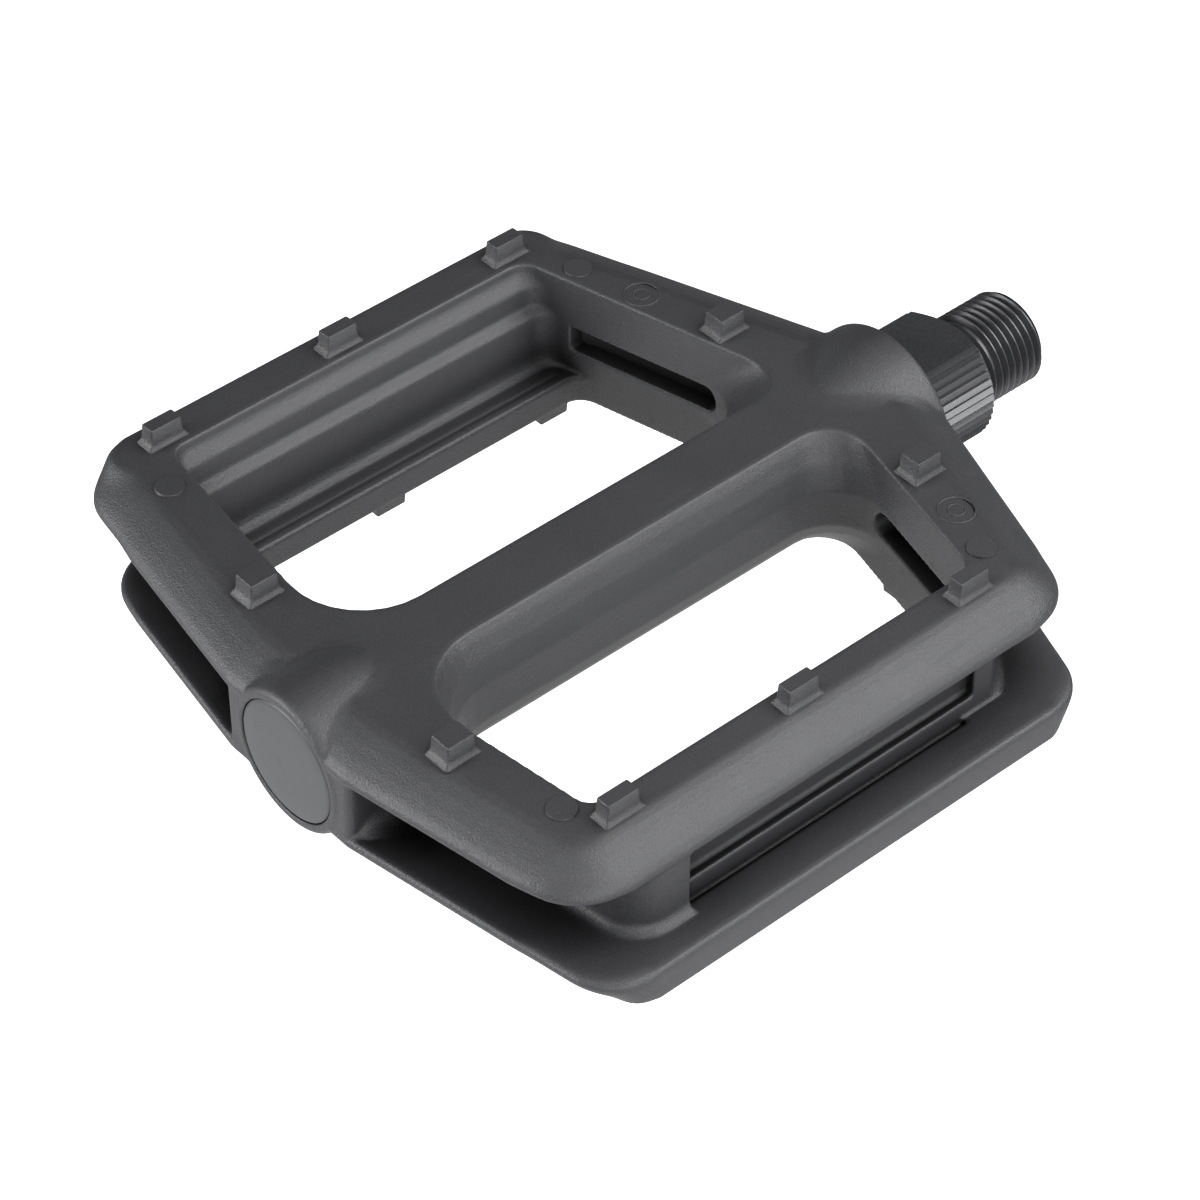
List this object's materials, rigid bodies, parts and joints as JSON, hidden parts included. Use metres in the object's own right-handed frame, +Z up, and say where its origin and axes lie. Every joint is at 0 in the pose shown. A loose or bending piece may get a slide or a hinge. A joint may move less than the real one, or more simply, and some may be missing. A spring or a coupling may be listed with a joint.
{
  "type": "flat pedal",
  "caption": "Flat platform pedal with a thin ribbed nylon body, moulded grip studs on both faces and a steel spindle on loose-ball bearings.",
  "frame": {"origin": "on the spindle axis, where the crank thread begins beside the shoulder that seats on the crank arm", "axes": "+X along the spindle towards the crank arm, +Z up out of the upper tread, +Y completing a right-handed frame"},
  "size_m": [0.1311, 0.109, 0.0268],
  "materials": {
    "nylon": "spark-eroded matte charcoal",
    "cap_plastic": "satin grey",
    "race_steel": "ground",
    "black_steel": "black oxide, oiled",
    "plated_steel": "zinc plated",
    "seal_rubber": "matte",
    "ball_steel": "polished"
  },
  "bodies": {
    "spindle_assembly": {"spindle": "black_steel", "cone": "race_steel", "lock_washer": "plated_steel", "lock_nut": "plated_steel", "dust_seal": "seal_rubber"},
    "platform": {"pedal_body": "nylon", "dust_cap": "cap_plastic", "outer_cup": "race_steel", "inner_cup": "race_steel"},
    "inner_balls": {"inner_ball_01": "ball_steel", "inner_ball_02": "ball_steel", "inner_ball_03": "ball_steel", "inner_ball_04": "ball_steel", "inner_ball_05": "ball_steel", "inner_ball_06": "ball_steel", "inner_ball_07": "ball_steel", "inner_ball_08": "ball_steel", "inner_ball_09": "ball_steel", "inner_ball_10": "ball_steel", "inner_ball_11": "ball_steel", "inner_ball_12": "ball_steel"},
    "outer_balls": {"outer_ball_01": "ball_steel", "outer_ball_02": "ball_steel", "outer_ball_03": "ball_steel", "outer_ball_04": "ball_steel", "outer_ball_05": "ball_steel", "outer_ball_06": "ball_steel", "outer_ball_07": "ball_steel", "outer_ball_08": "ball_steel", "outer_ball_09": "ball_steel"}
  },
  "joints": [
    {"name": "platform_spin", "type": "hinge", "parent": "spindle_assembly", "child": "platform", "pos_m": [0, 0, 0], "axis": [1, 0, 0], "continuous": true},
    {"name": "inner_ball_orbit", "type": "hinge", "parent": "spindle_assembly", "child": "inner_balls", "pos_m": [0, 0, 0], "axis": [1, 0, 0], "continuous": true},
    {"name": "outer_ball_orbit", "type": "hinge", "parent": "spindle_assembly", "child": "outer_balls", "pos_m": [0, 0, 0], "axis": [1, 0, 0], "continuous": true}
  ],
  "couplings": [
    {"joint": "inner_ball_orbit", "follows": "platform_spin", "ratio": 0.5855},
    {"joint": "outer_ball_orbit", "follows": "platform_spin", "ratio": 0.6096}
  ]
}
